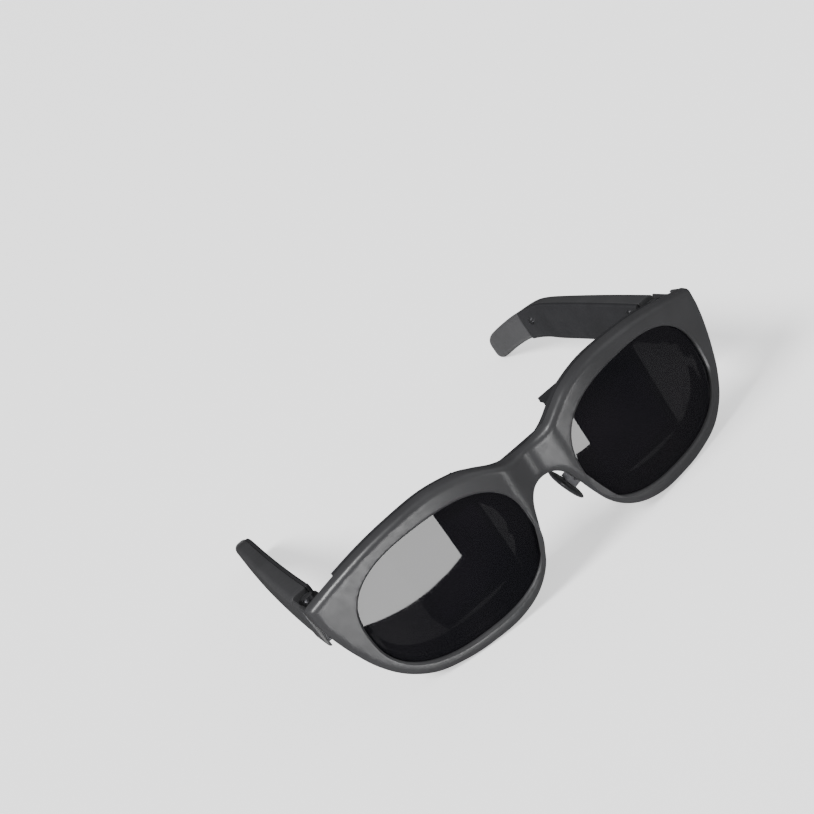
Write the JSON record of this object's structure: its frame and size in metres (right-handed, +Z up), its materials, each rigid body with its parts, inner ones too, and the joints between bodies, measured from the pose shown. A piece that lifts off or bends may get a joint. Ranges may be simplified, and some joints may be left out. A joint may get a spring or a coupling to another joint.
{
  "type": "smart glasses",
  "caption": "Display smart glasses: wrapped front with dark lenses, see-through optics, rocking nose pads, sprung keys, and temples that tilt and fold.",
  "frame": {"origin": "middle of the glasses' footprint, on the surface they stand on, with the temples open", "axes": "+Z up, -Y out through the lenses, +Y back along the temples, +X to the wearer's left"},
  "size_m": [0.148, 0.1608, 0.0499],
  "materials": {
    "frame": "satin charcoal moulded frame, fine matte grain",
    "cover": "matte black inner mouldings",
    "lens": "near-black glossy tinted lens",
    "optic": "coated optical glass with a purple cast",
    "display": "dark micro display panel",
    "seal": "black gasket",
    "pad": "soft black silicone, satin",
    "steel": "brushed stainless steel",
    "hinge_metal": "dark plated hinge metal",
    "screw": "plated screw steel",
    "board": "green solder mask",
    "flex": "amber flexible circuit",
    "tip": "soft-touch black tip",
    "key": "satin charcoal key",
    "mesh": "black speaker mesh",
    "port": "drawn steel port shell",
    "pad_core": "clear-grey moulded pad carrier",
    "speaker": "black speaker box"
  },
  "bodies": {
    "front": {"front_frame": "frame", "rear_cover": "cover", "sensor_window": "lens", "sensor_board": "board", "bridge_flex": "flex", "left_lens": "lens", "right_lens": "lens", "left_lens_seal": "seal", "right_lens_seal": "seal", "left_optic_housing": "cover", "right_optic_housing": "cover", "left_combiner": "optic", "right_combiner": "optic", "left_beam_splitter": "optic", "right_beam_splitter": "optic", "left_field_lens": "optic", "right_field_lens": "optic", "left_display": "display", "right_display": "display", "nose_bracket": "hinge_metal", "pad_arms": "steel", "left_hinge_base": "hinge_metal", "right_hinge_base": "hinge_metal", "tilt_pins": "steel", "detent_plates": "steel", "frame_screws": "screw", "hinge_screws": "screw"},
    "left_hinge": {"left_hinge_block": "hinge_metal", "left_hinge_cheek": "frame", "left_fold_pin": "steel"},
    "right_hinge": {"right_hinge_block": "hinge_metal", "right_hinge_cheek": "frame", "right_fold_pin": "steel"},
    "left_temple": {"left_temple_hinge": "hinge_metal", "left_temple_shell": "frame", "left_temple_cover": "cover", "left_temple_board": "board", "left_speaker": "speaker", "left_speaker_mesh": "mesh", "left_temple_tip": "tip", "left_temple_core": "steel", "left_temple_screws": "screw", "usb_port_shell": "port", "usb_tongue": "cover"},
    "right_temple": {"right_temple_hinge": "hinge_metal", "right_temple_shell": "frame", "right_temple_cover": "cover", "right_temple_board": "board", "right_speaker": "speaker", "right_speaker_mesh": "mesh", "right_temple_tip": "tip", "right_temple_core": "steel", "right_temple_screws": "screw", "rocker_pin": "steel"},
    "left_pad": {"left_nose_pad": "pad", "left_pad_core": "pad_core"},
    "right_pad": {"right_nose_pad": "pad", "right_pad_core": "pad_core"},
    "rocker": {"brightness_rocker": "key"},
    "button": {"mode_button": "key"}
  },
  "joints": [
    {"name": "left_temple_tilt", "type": "hinge", "parent": "front", "child": "left_hinge", "pos_m": [0.0672, -0.05652, 0.0295], "axis": [1, 0, 0], "range_deg": [-4, 4]},
    {"name": "right_temple_tilt", "type": "hinge", "parent": "front", "child": "right_hinge", "pos_m": [-0.0672, -0.05652, 0.0295], "axis": [1, 0, 0], "range_deg": [-4, 4]},
    {"name": "left_temple_fold", "type": "hinge", "parent": "left_hinge", "child": "left_temple", "pos_m": [0.0695, -0.04756, 0.02872], "axis": [0, 0.0872, 0.9962], "range_deg": [0, 83]},
    {"name": "right_temple_fold", "type": "hinge", "parent": "right_hinge", "child": "right_temple", "pos_m": [-0.0695, -0.04756, 0.02872], "axis": [0, -0.0872, -0.9962], "range_deg": [0, 90]},
    {"name": "left_nose_pad_rock", "type": "hinge", "parent": "front", "child": "left_pad", "pos_m": [0.0112, -0.06502, 0.018], "axis": [0, 1, 0], "range_deg": [-10, 10]},
    {"name": "right_nose_pad_rock", "type": "hinge", "parent": "front", "child": "right_pad", "pos_m": [-0.0112, -0.06502, 0.018], "axis": [0, 1, 0], "range_deg": [-10, 10]},
    {"name": "brightness_rocker_tilt", "type": "hinge", "parent": "right_temple", "child": "rocker", "pos_m": [-0.0695, -0.02405, 0.02204], "axis": [1, 0, 0], "range_deg": [-2.5, 2.5], "stiffness_Nm_per_rad": 0.05},
    {"name": "mode_button_press", "type": "slide", "parent": "right_temple", "child": "button", "axis": [0, 0.0872, 0.9962], "range_m": [0, 0.0004], "stiffness_N_per_m": 800}
  ]
}
